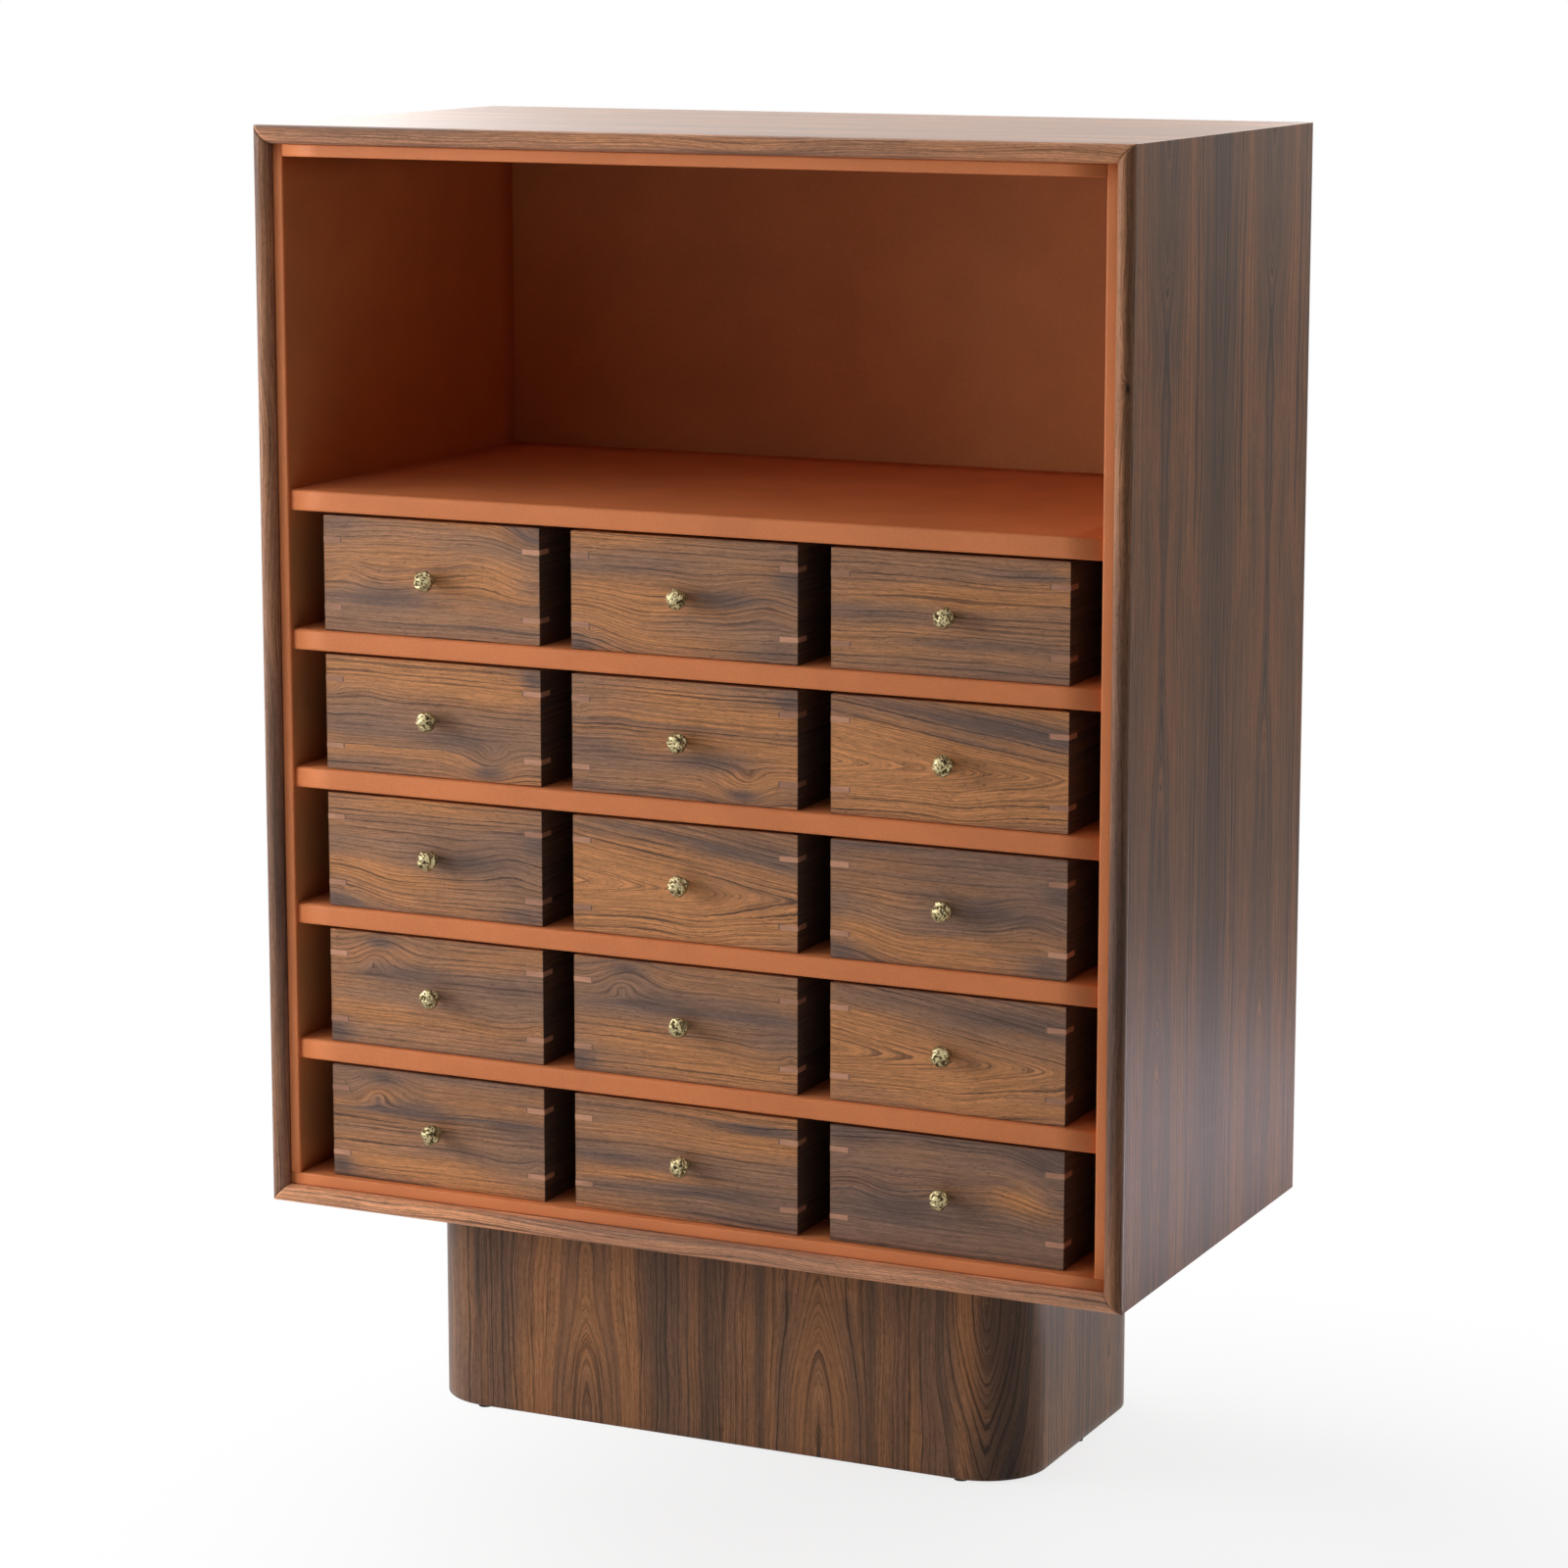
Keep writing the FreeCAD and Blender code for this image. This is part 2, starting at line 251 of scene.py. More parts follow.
def walnut(name, warm, middle, cool, line, roughness, shine, rings, bands):
    """Walnut in a warm, a middle and a cool colour, with dark lines, so many rings a metre.
    bands says how strongly the cool bands show."""
    material, tree = new_material(name)
    along, across, offset = vertex_vector(tree, "grain")
    warmth, light, figure = vertex_vector(tree, "tone")
    jitter = walnut_noise(tree, "jitter", along, across, offset)
    jitter = times(tree, calc(tree, "SUBTRACT", jitter, 0.5), JITTER)
    across = calc(tree, "ADD", across, jitter)
    broad, band, fade, hair, fibre, pore = (
        walnut_noise(tree, key, along, across, offset)
        for key in ("broad", "band", "fade", "hair", "fibre", "pore")
    )
    lines = dark_lines(tree, across, offset, rings, band, fade)
    lines = times(tree, lines, figure, clamp=True)

    warm_share = calc(tree, "ADD", ramp(tree, broad, 0.38, 0.66), warmth, clamp=True)
    colour = mix_colour(tree, warm_share, middle, warm)
    cool_share = times(tree, ramp(tree, band, 0.50, 0.74), bands)
    cool_share = calc(tree, "SUBTRACT", cool_share, warmth, clamp=True)
    cool_share = times(tree, cool_share, figure, clamp=True)
    colour = mix_colour(tree, cool_share, colour, cool)
    colour = mix_colour(tree, times(tree, lines, LINE_SHARE), colour, line)
    colour = shade(tree, colour, ramp(tree, hair, 0.30, 0.70, 0.80, 1.16))
    colour = shade(tree, colour, ramp(tree, fibre, 0.28, 0.72, 0.80, 1.20))
    dash = ramp(tree, pore, 0.64, 0.73, 0.0, PORE_SHARE)
    colour = shade(tree, mix_colour(tree, dash, colour, line), light)

    # Pores and dark lines lie a little lower than the wood round them
    height = calc(tree, "SUBTRACT", times(tree, fibre, 0.5), dash)
    height = calc(tree, "SUBTRACT", height, times(tree, lines, 0.3))
    rough = ramp(tree, fibre, 0.2, 0.8, roughness - 0.05, roughness + 0.07)
    surface(tree, colour, rough, bump(tree, height, 0.4, 0.1 * MM), shine)
    return material


WALNUT = walnut(
    "walnut_solid",
    rgb(199, 136, 86), rgb(161, 120, 93), rgb(121, 96, 85), rgb(55, 39, 36),
    roughness=0.45, shine=0.28, rings=210.0, bands=0.8,
)
LIP_WALNUT = walnut(
    "walnut_lipping",
    rgb(190, 134, 98), rgb(158, 116, 92), rgb(112, 88, 77), rgb(58, 42, 36),
    roughness=0.40, shine=0.12, rings=190.0, bands=0.8,
)
# A darker copy of the walnut: the case sides and back are written darker as painted shade.
SHADED_SIDE_VENEER = walnut(
    "walnut_side_veneer_painted_shade",
    rgb(135, 89, 57), rgb(109, 76, 54), rgb(82, 62, 50), rgb(46, 33, 27),
    roughness=0.40, shine=0.04, rings=100.0, bands=0.8,
)
# A paler copy of the walnut for the case top and bottom: painted light and sheen on the top.
LIT_LEVEL_VENEER = walnut(
    "walnut_level_veneer_painted_light",
    rgb(196, 140, 100), rgb(168, 122, 92), rgb(136, 106, 88), rgb(90, 68, 56),
    roughness=0.34, shine=0.34, rings=150.0, bands=0.8,
)
PLINTH_VENEER = walnut(
    "walnut_plinth",
    rgb(170, 118, 80), rgb(133, 98, 76), rgb(93, 75, 65), rgb(50, 39, 34),
    roughness=0.34, shine=0.13, rings=150.0, bands=0.9,
)


LEATHER_SHINE = 0.24


def leather(name, pale, deep, roughness):
    """Smooth leather. A vertex attribute is one on the shelves, the niche's floor and the lining's
    front edges, which take the pale colour; the rest of the lining, inside the niche, takes the
    deep colour as painted shade."""
    material, tree = new_material(name)
    outside_painted_shade = vertex_value(tree, "outside_painted_shade")
    where = node(tree, "ShaderNodeTexCoord").outputs["Object"]
    cloud = noise_node(tree, where, 3.0, scale=12.0)
    crease = noise_node(tree, where, 3.0, 0.62, scale=640.0)
    pebble = node(tree, "ShaderNodeTexVoronoi", {"Vector": where, "Scale": 1250.0}).outputs[0]
    colour = mix_colour(tree, outside_painted_shade, deep, pale)
    colour = shade(tree, colour, ramp(tree, cloud, 0.3, 0.7, 0.90, 1.0))
    colour = shade(tree, colour, ramp(tree, crease, 0.35, 0.6, 0.94, 1.03))
    rough = ramp(tree, crease, 0.3, 0.7, roughness - 0.05, roughness + 0.08)
    normal = bump(tree, calc(tree, "ADD", pebble, crease), 0.35, 0.22 * MM)
    surface(tree, colour, rough, normal, LEATHER_SHINE)
    return material


# The deep colour is the pale one in painted shade, for the inside of the niche.
LEATHER = leather("tan_leather", rgb(229, 137, 84), rgb(207, 135, 83), 0.52)


def brass(name):
    """Pale cast brass. The vertex attribute "dent" says how deep in a crevice a point lies."""
    material, tree = new_material(name)
    where = node(tree, "ShaderNodeTexCoord").outputs["Object"]
    dent = vertex_value(tree, "dent")
    grit = noise_node(tree, where, 4.0, 0.65, scale=1100.0)
    hidden = ramp(tree, dent, 0.2, 0.8)
    colour = mix_colour(tree, hidden, rgb(180, 166, 126), rgb(74, 62, 40))
    rough = ramp(tree, dent, 0.1, 0.8, 0.36, 0.6)
    surface(tree, colour, rough, bump(tree, grit, 0.45, 0.3 * MM), metallic=1.0)
    return material


BRASS = brass("cast_brass")


GLUE = rgb(52, 38, 34)
GLUE_SHARE = 0.6


def plain_wood(name, pale, dark, roughness):
    """Straight-grained wood, paler in some places than in others. The vertex attribute "dent"
    is one on the glue at the ends of the keys."""
    material, tree = new_material(name)
    where = node(tree, "ShaderNodeTexCoord").outputs["Object"]
    squeeze = node(tree, "ShaderNodeMapping", {"Vector": where, "Scale": (70.0, 70.0, 900.0)})
    fibre = noise_node(tree, squeeze.outputs[0], 3.0, 0.6)
    place = noise_node(tree, where, 1.0, scale=11.0)
    share = calc(tree, "ADD", fibre, times(tree, place, 2.0))
    colour = mix_colour(tree, ramp(tree, share, 1.0, 2.0), dark, pale)
    dent = vertex_value(tree, "dent")
    colour = mix_colour(tree, times(tree, dent, GLUE_SHARE), colour, GLUE)
    surface(tree, colour, roughness, bump(tree, fibre, 0.3, 0.1 * MM))
    return material


KEY_WOOD = plain_wood("key_wood", rgb(212, 154, 121), rgb(158, 110, 85), 0.5)
GUIDE_WOOD = plain_wood("guide_wood", rgb(190, 150, 110), rgb(168, 128, 92), 0.55)
GLIDE = plain_wood("glide_felt", rgb(52, 48, 44), rgb(36, 33, 31), 0.9)


# How the figure of a board runs


def smooth(value, low, high):
    share = max(0.0, min(1.0, (value - low) / (high - low)))
    return share * share * (3 - 2 * share)


def near(value, place, reach):
    """One at the place, and close to nothing at twice the reach from it."""
    return math.exp(-(((value - place) / reach) ** 2))


class Board:
    """What a board's points carry: the grain and the tone at (along, depth, across)."""

    seams = ()

    def __init__(self, seed, warm=0.0, light=1.0, figure=1.0, slow=5 * MM, quick=1.6 * MM):
        self.seed = seed
        self.plain = (warm, light, figure)
        self.slow = slow
        self.quick = quick

    def flow(self, s, b):
        """The place across the growth rings, before the small waves are added."""
        return b

    def tone(self, s, b):
        return self.plain

    def waves(self, s, b):
        """Slow waves about 30 cm long and quick ones about 8 cm long."""
        slow = noise.noise(Vector((s * 3.0, b * 10.0, self.seed * 7.31)))
        quick = noise.noise(Vector((s * 13.0, b * 36.0, self.seed * 3.17 + 5)))
        return slow * self.slow + quick * self.quick

    def grain(self, s, a, b):
        """The seed gives each board its own place in the walnut's noises."""
        place = self.flow(s, b) + self.waves(s, b) + a * 0.7
        return (s + self.seed * 1.7, place + self.seed * 0.37, self.seed * 2.9)


class Leaves(Board):
    """Veneer leaves side by side. Each is (end, heart): the far edge and the middle of its
    cathedral figure, measured across the board. crest gives the figure along a leaf, mirror is
    where the leaves fold over, and bands are (place, reach, more warmth, more light)."""

    crest_reach = 38 * MM
    rounding = 4 * MM
    leaf_step = 0.31

    def __init__(self, seed, leaves, crest, mirror=None, bands=(), **rest):
        super().__init__(seed, **rest)
        self.leaves = leaves
        self.crest = crest
        self.mirror = mirror
        self.bands = bands
        ends = [end for end, heart in leaves[:-1]]
        self.seams = [end + side * SEAM for end in ends for side in (-1, 1)]
        if mirror is not None:
            self.seams = [mirror + sign * seam for seam in self.seams for sign in (-1, 1)]
            self.seams.append(mirror)

    def folded(self, b):
        return b if self.mirror is None else abs(b - self.mirror)

    def flow(self, s, b):
        b = self.folded(b)
        number = 0
        while number < len(self.leaves) - 1 and b > self.leaves[number][0]:
            number += 1
        off = abs(b - self.leaves[number][1])
        rise = self.crest(s, number) * near(off, 0.0, self.crest_reach)
        return math.hypot(off, self.rounding) + rise + number * self.leaf_step

    def tone(self, s, b):
        warm, light, figure = self.plain
        for place, reach, more_warm, more_light in self.bands:
            share = near(self.folded(b), place, reach)
            warm += share * more_warm
            light += share * more_light
        return (warm, light, figure)

    def waves(self, s, b):
        return super().waves(s, self.folded(b))


class DrawerFront(Board):
    """A drawer front's figure. Its bends and patches are placed by the share of the width and
    of the height from the upper left corner, and a turned board is the same figure upside down."""

    taper_blend = 30 * MM

    def __init__(self, seed, width, height, figure, turned=False, **rest):
        super().__init__(seed, **rest)
        self.width = width
        self.height = height
        self.turned = turned
        self.heart = figure.get("heart")
        self.bends = figure.get("bends", ())
        self.eyes = figure.get("eyes", ())
        self.patches = figure.get("patches", ())

    def share(self, s, b):
        u = s / self.width + 0.5
        v = 0.5 - b / self.height
        return (1 - u, 1 - v) if self.turned else (u, v)

    def flow(self, s, b):
        u, v = self.share(s, b)
        place = (0.5 - v) * self.height
        if self.heart:
            v0, taper, low_taper, rounding = self.heart
            off = (v - v0) * self.height
            taper += (low_taper - taper) * smooth(off, 0.0, self.taper_blend)
            place = math.hypot(off, rounding * MM) + taper * (u - 0.5) * self.width
        for u0, v0, reach_u, reach_v, lift in self.bends:
            place -= lift * MM * near(u, u0, reach_u) * near(v, v0, reach_v)
        for u0, v0, radius, rise in self.eyes:
            share = near(u * self.width, u0 * self.width, 1.7 * radius * MM)
            place += rise * MM * share * near(v * self.height, v0 * self.height, radius * MM)
        return place

    def tone(self, s, b):
        u, v = self.share(s, b)
        warm, light, figure = self.plain
        for u0, v0, reach_u, reach_v, more_warm, more_light in self.patches:
            share = near(u, u0, reach_u) * near(v, v0, reach_v)
            warm += share * more_warm
            light += share * more_light
        return (warm, light, figure)


# The fronts share five figures. u and v are the shares of the width and of the height. Bends are
# (u, v, reach in u, reach in v, lift in mm), eyes are (u, v, radius in mm, rise in mm) and patches
# are (u, v, reach in u, reach in v, more warmth, more light). A heart is (v, taper, taper below
# it, rounding in mm) of a cathedral figure that lies on its side.
SWIRL = {
    "bends": (
        (0.35, 0.15, 0.30, 0.30, 6.0),
        (0.72, 0.30, 0.16, 0.30, 7.0),
        (0.97, 0.50, 0.14, 0.30, -7.0),
        (0.10, 0.45, 0.10, 0.14, 5.0),
        (0.28, 0.55, 0.12, 0.14, -4.0),
    ),
    "eyes": ((1.02, 0.02, 18, 26),),
    "patches": (
        (0.84, 0.42, 0.14, 0.14, 0.7, 0.12),
        (0.35, 0.20, 0.35, 0.20, 0.35, 0.04),
        (0.30, 0.65, 0.22, 0.12, -0.7, -0.06),
        (0.98, 0.05, 0.14, 0.20, -0.7, -0.08),
        (0.08, 0.06, 0.10, 0.10, -0.5, -0.04),
    ),
}
HUMP = {
    "bends": (
        (0.02, 0.95, 0.22, 0.42, 19.0),
        (0.30, 0.70, 0.14, 0.25, -4.0),
        (0.62, 0.46, 0.12, 0.14, -5.0),
        (0.86, 0.52, 0.13, 0.20, 9.0),
    ),
    "eyes": ((0.09, 0.85, 4, 5),),
    "patches": (
        (0.20, 0.62, 0.20, 0.22, 0.6, 0.08),
        (0.50, 0.85, 0.30, 0.14, 0.5, 0.03),
        (0.68, 0.50, 0.16, 0.07, -0.8, -0.10),
        (0.98, 0.30, 0.08, 0.10, -0.8, -0.10),
        (0.04, 0.96, 0.08, 0.08, -0.7, -0.05),
        (0.92, 0.92, 0.10, 0.07, -0.6, -0.05),
        (0.50, 0.05, 0.50, 0.08, 0.25, 0.02),
    ),
}
EYE = {
    "bends": (
        (0.18, 0.30, 0.12, 0.14, 4.0),
        (0.05, 0.50, 0.10, 0.10, -2.0),
        (0.75, 0.90, 0.12, 0.16, -11.0),
        (0.55, 0.70, 0.12, 0.14, 3.0),
        (0.95, 0.80, 0.10, 0.14, 3.0),
    ),
    "eyes": ((0.79, 0.76, 8, 7), (0.03, 0.30, 4, 5)),
    "patches": (
        (0.45, 0.15, 0.35, 0.16, 0.5, 0.05),
        (0.80, 0.30, 0.20, 0.12, 0.5, 0.05),
        (0.97, 0.10, 0.06, 0.10, -0.9, -0.12),
        (0.62, 0.66, 0.20, 0.08, -0.8, -0.08),
        (0.76, 0.92, 0.07, 0.05, -0.9, -0.12),
        (0.15, 0.62, 0.20, 0.10, -0.5, -0.05),
    ),
}
CATHEDRAL = {
    "heart": (0.56, 0.14, 0.04, 3.0),
    "bends": ((0.55, 0.95, 0.16, 0.30, 6.0),),
    "patches": (
        (0.15, 0.55, 0.28, 0.14, 0.9, 0.14),
        (0.60, 0.70, 0.40, 0.22, 0.6, 0.08),
        (0.20, 0.08, 0.30, 0.10, -0.4, -0.05),
        (0.70, 0.18, 0.30, 0.12, -0.8, -0.10),
        (0.97, 0.24, 0.12, 0.12, -0.5, -0.06),
        (0.05, 0.30, 0.30, 0.10, 0.6, 0.08),
        (0.45, 0.88, 0.50, 0.12, 0.35, 0.08),
    ),
}
STRAIGHT = {
    "bends": (
        (0.30, 0.55, 0.20, 0.30, 3.0),
        (0.75, 0.15, 0.20, 0.16, -4.0),
        (0.60, 0.80, 0.18, 0.20, 3.5),
    ),
    "patches": (
        (0.85, 0.14, 0.22, 0.04, -1.0, -0.12),
        (0.15, 0.52, 0.25, 0.05, -0.8, -0.08),
        (0.60, 0.72, 0.40, 0.05, -0.8, -0.08),
        (0.80, 0.93, 0.30, 0.05, -0.7, -0.06),
        (0.40, 0.32, 0.50, 0.08, 0.4, 0.05),
        (0.30, 0.66, 0.30, 0.05, 0.5, 0.06),
    ),
}
# Row and column to the figure, whether it is turned, and how warm the board is
FRONTS = {
    (1, 1): (SWIRL, False, 0.10),
    (1, 2): (HUMP, False, -0.05),
    (1, 3): (STRAIGHT, False, 0.25),
    (2, 1): (EYE, False, 0.05),
    (2, 2): (EYE, False, 0.00),
    (2, 3): (CATHEDRAL, False, 0.15),
    (3, 1): (HUMP, False, -0.15),
    (3, 2): (CATHEDRAL, False, 0.35),
    (3, 3): (HUMP, False, -0.30),
    (4, 1): (EYE, True, -0.10),
    (4, 2): (EYE, True, -0.10),
    (4, 3): (CATHEDRAL, False, 0.15),
    (5, 1): (EYE, True, -0.10),
    (5, 2): (STRAIGHT, False, -0.05),
    (5, 3): (SWIRL, False, -0.45),
}


# Mesh helpers


class Part:
    """Points, faces and vertex values gathered into one mesh."""

    def __init__(self):
        self.points = []
        self.faces = []
        self.smooth = []
        self.values = {}

    def add(self, points, faces, values, smooth_faces=()):
        first = len(self.points)
        self.smooth += [len(self.faces) + index for index in smooth_faces]
        self.points += points
        self.faces += [[first + index for index in face] for face in faces]
        for key, rows in values.items():
            self.values.setdefault(key, []).extend(rows)

    def build(self, name, material, body, slot, *nodes):
        """Makes the object, rides it on its body and lets it stand for the named nodes."""
        mesh = bpy.data.meshes.new(name)
        mesh.from_pydata([tuple(point) for point in self.points], [], self.faces)
        for index in self.smooth:
            mesh.polygons[index].use_smooth = True
        for key, rows in self.values.items():
            if isinstance(rows[0], (int, float)):
                attribute = mesh.attributes.new(key, "FLOAT", "POINT")
                attribute.data.foreach_set("value", rows)
            else:
                attribute = mesh.attributes.new(key, "FLOAT_VECTOR", "POINT")
                attribute.data.foreach_set("vector", [value for row in rows for value in row])
        work = bmesh.new()
        work.from_mesh(mesh)
        bmesh.ops.recalc_face_normals(work, faces=work.faces)
        work.to_mesh(mesh)
        work.free()
        mesh.materials.append(material)
        piece = add_object(name, mesh)
        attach(piece, body)
        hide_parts(*nodes)


def add_object(name, data):
    made = bpy.data.objects.new(name, data)
    bpy.context.scene.collection.objects.link(made)
    return made


def spaced(start, end, step):
    """Numbers from start to end, both included, about a step apart."""
    count = max(1, round(abs(end - start) / step))
    return [start + (end - start) * index / count for index in range(count + 1)]


def tube_faces(rows, size, ring=False):
    """The faces between rows of points, each row closed on itself. In a ring the last row joins
    the first as well."""
    faces = []
    for row in range(rows if ring else rows - 1):
        low = row * size
        high = (row + 1) % rows * size
        for index in range(size):
            after = (index + 1) % size
            faces.append([low + index, low + after, high + after, high + index])
    return faces


def cap_faces(rows, size):
    last = (rows - 1) * size
    return [list(range(size)), [last + index for index in reversed(range(size))]]


def board_outline(thickness, width, step, arris=ARRIS, rebate=None, seams=()):
    """A closed section as (depth behind the show face, place across the board)."""
    half = width / 2
    places = spaced(-half + arris, half - arris, step)
    show = [(0, b) for b in sorted(places + list(seams))]
    far = [(a, half) for a in spaced(arris, thickness - arris, step)]
    back = [(thickness, b) for b in spaced(half - arris, -half + arris, 3 * step)]
    close = [(a, -half) for a in spaced(thickness - arris, arris, step)]
    if rebate:
        deep, wide = rebate
        far = [(arris, half), (thickness - deep, half), (thickness - deep, half - wide)]
        back = [(thickness, b) for b in spaced(half - wide, -half + arris, 3 * step)]
    return show + far + back + close


def add_board(part, outline, length, place, board, step, mitre=True, arris=ARRIS):
    """Adds a board to the part. place turns (along from its middle, behind the show face,
    across) into a point. Mitred ends shorten with depth and meet in a small arris."""
    half = length / 2
    points = []
    values = {"grain": [], "tone": []}
    stations = [(at, False) for at in spaced(-1, 1, 2 * step / length)]
    for at, tip in [(-1, True)] + stations + [(1, True)]:
        for a, b in outline:
            deep = max(a, arris / 2) if tip else a
            inset = deep if mitre else 0.0
            if not tip:
                inset += arris if a < arris / 2 else arris / 2
            s = at * (half - inset)
            points.append(place(s, deep, b))
            values["grain"].append(board.grain(s, a, b))
            values["tone"].append(board.tone(s, b))
    size = len(outline)
    rows = len(stations) + 2
    part.add(points, tube_faces(rows, size) + cap_faces(rows, size), values)


def frame_of(origin, along, inward, across):
    return lambda s, a, b: origin + along * s + inward * a + across * b


# Case panels: book-matched veneer with tall narrow cathedrals on the sides


SIDE_AXIS = 218 * MM - DEPTH / 2
SIDE_LEAVES = ((0.3, 141 * MM),)
SIDE_BANDS = (
    (0.0, 42 * MM, -0.35, -0.06),
    (76 * MM, 20 * MM, 0.40, 0.06),
    (200 * MM, 26 * MM, 0.25, 0.04),
)
LEVEL_LEAVES = ((-75 * MM, -150 * MM), (85 * MM, 0.0), (0.3, 160 * MM))
BACK_LEAVES = ((0.22, 0.11), (0.5, 0.33))


def side_crest(s, number):
    islands = noise.noise(Vector((s * 6.5, 2.7, number))) * 22 * MM
    top = -26 * MM * smooth(s, 0.36, 0.54)
    foot = -40 * MM * smooth(-s, -0.06, 0.54)
    return top + foot + islands


def level_crest(s, number):
    return noise.noise(Vector((s * 4.0, 8.3, number * 2.0))) * 10 * MM - 0.03 * s


def side_board(seed):
    waves = {"slow": 11 * MM, "quick": 4 * MM}
    return Leaves(seed, SIDE_LEAVES, side_crest, SIDE_AXIS, SIDE_BANDS, figure=1.25, **waves)


def level_board(seed, light=1.0):
    return Leaves(seed, LEVEL_LEAVES, level_crest, figure=0.8, light=light)


def case_panel(node_name, material, length, origin, along, inward, board):
    part = Part()
    step, along_step = PANEL_STEPS
    outline = board_outline(PANEL, DEPTH, step, rebate=BACK_REBATE, seams=board.seams)
    place = frame_of(origin, along, inward, Y)
    add_board(part, outline, length, place, board, along_step)
    part.build(node_name + "_panel", material, "cabinet", "walnut", node_name)


def build_case():
    centre = Vector((0, MIDDLE_Y, CASE_MIDDLE_Z))
    sides = (("case_side_right", X, side_board(3)), ("case_side_left", -X, side_board(4)))
    for name, way, board in sides:
        case_panel(name, SHADED_SIDE_VENEER, CASE_HEIGHT, centre + CASE_HALF * way, Z, -way, board)
    levels = (("case_top", Z, level_board(5, 0.95)), ("case_bottom", -Z, level_board(6)))
    for name, way, board in levels:
        place = centre + CASE_HEIGHT / 2 * way
        case_panel(name, LIT_LEVEL_VENEER, CASE_WIDTH, place, X, -way, board)


def build_back():
    low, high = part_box("case_back")
    part = Part()
    board = Leaves(8, BACK_LEAVES, side_crest, 0.0, figure=0.85)
    step, along_step = BACK_STEPS
    outline = board_outline(high.y - low.y, high.x - low.x, step, seams=board.seams)
    origin = Vector(((low.x + high.x) / 2, high.y, (low.z + high.z) / 2))
    place = frame_of(origin, Z, -Y, X)
    add_board(part, outline, high.z - low.z, place, board, along_step, mitre=False)
    part.build("case_back_panel", SHADED_SIDE_VENEER, "cabinet", "walnut", "case_back")


# Half-round lipping


LIP_KNOT = (0.316, -5 * MM)


class Lipping(Board):
    """Solid walnut with flames where the figure runs out, and cool and warm stretches. Its outer
    flank can be painted warmer and darker as painted shade, and a small knot can sit at (along,
    across)."""

    flame_lift = 10 * MM
    flank_shade_width = 5 * MM
    knot_lift = 8 * MM
    knot_reach = 4 * MM
    knot_core = 2 * MM

    def __init__(self, seed, outer=(0.0, 0.0), knot=None, **rest):
        super().__init__(seed, **rest)
        self.outer = outer
        self.knot = knot

    def at_knot(self, s, b, reach):
        if self.knot is None:
            return 0.0
        return near(s, self.knot[0], 2.5 * reach) * near(b, self.knot[1], reach)

    def flow(self, s, b):
        flame = noise.noise(Vector((s * 7.0, b * 20.0, self.seed)))
        knot = self.at_knot(s, b, self.knot_reach)
        return b * 1.2 + flame * self.flame_lift + knot * self.knot_lift

    def tone(self, s, b):
        warm, light, figure = self.plain
        warm += 0.6 * noise.noise(Vector((s * 3.1, 4.0, self.seed * 5.1)))
        warm += 1.2 * noise.noise(Vector((s * 2.3, b * 60.0, self.seed * 2.3)))
        # Painted shade: the outer flank is made warmer and darker by the outer shares.
        flank_shade = smooth(-b, 0.0, self.flank_shade_width)
        knot = self.at_knot(s, b, self.knot_core)
        warm += flank_shade * self.outer[0] - 2.0 * knot
        light += flank_shade * self.outer[1] - 0.5 * knot
        return (warm, light, figure)


def lip_outline():
    """A half round as (depth behind the outer face, height in front of the case edge)."""
    arc = []
    for index in range(LIP_STEPS + 1):
        turn = math.pi * index / LIP_STEPS
        arc.append((LIP_RADIUS * (1 - math.cos(turn)), LIP_LAND + LIP_RADIUS * math.sin(turn)))
    return [(0, 0)] + arc + [(PANEL, 0)]


def lip(name, length, origin, along, inward, board):
    place = frame_of(origin, along, inward, -Y)
    outline = lip_outline()
    stations = spaced(-1, 1, 2 * LIP_STEP / length)
    points = []
    values = {"grain": [], "tone": []}
    for at in stations:
        for a, b in outline:
            s = at * (length / 2 - a)
            points.append(place(s, a, b))
            # The figure is laid out round the half round, so it isn't stretched on its flanks
            girth = LIP_RADIUS * math.atan2(a - LIP_RADIUS, max(b, 0.1 * MM))
            values["grain"].append(board.grain(s, 0.0, girth))
            values["tone"].append(board.tone(s, girth))
    size = len(outline)
    faces = tube_faces(len(stations), size)
    rounded = [index for index in range(len(faces)) if 1 <= index % size <= LIP_STEPS]
    part = Part()
    part.add(points, faces + cap_faces(len(stations), size), values, rounded)
    part.build(name, LIP_WALNUT, "cabinet", "walnut", "front_lipping")


def build_lipping():
    centre = Vector((0, FACE_Y, CASE_MIDDLE_Z))
    out = CASE_HALF * X
    up = CASE_HEIGHT / 2 * Z
    # The top and bottom lippings are written lighter, light 1.35 and 1.75, as painted light.
    level = Lipping(11, warm=0.1, light=1.35, slow=7 * MM)
    lip("lipping_top", CASE_WIDTH, centre + up, X, -Z, level)
    level = Lipping(12, warm=0.1, light=1.75, slow=3 * MM)
    lip("lipping_bottom", CASE_WIDTH, centre - up, X, Z, level)
    upright = Lipping(13, warm=-0.3, light=1.05, slow=3 * MM)
    lip("lipping_left", CASE_HEIGHT, centre - out, Z, X, upright)
    # The right upright's outer flank is painted warmer and darker as painted shade.
    upright = Lipping(14, (0.9, -0.6), LIP_KNOT, light=1.05, slow=8 * MM)
    lip("lipping_right", CASE_HEIGHT, centre + out, Z, -X, upright)


# Leather-clad panels, with the leather turned over their front edges


FOLD_STEPS = 6


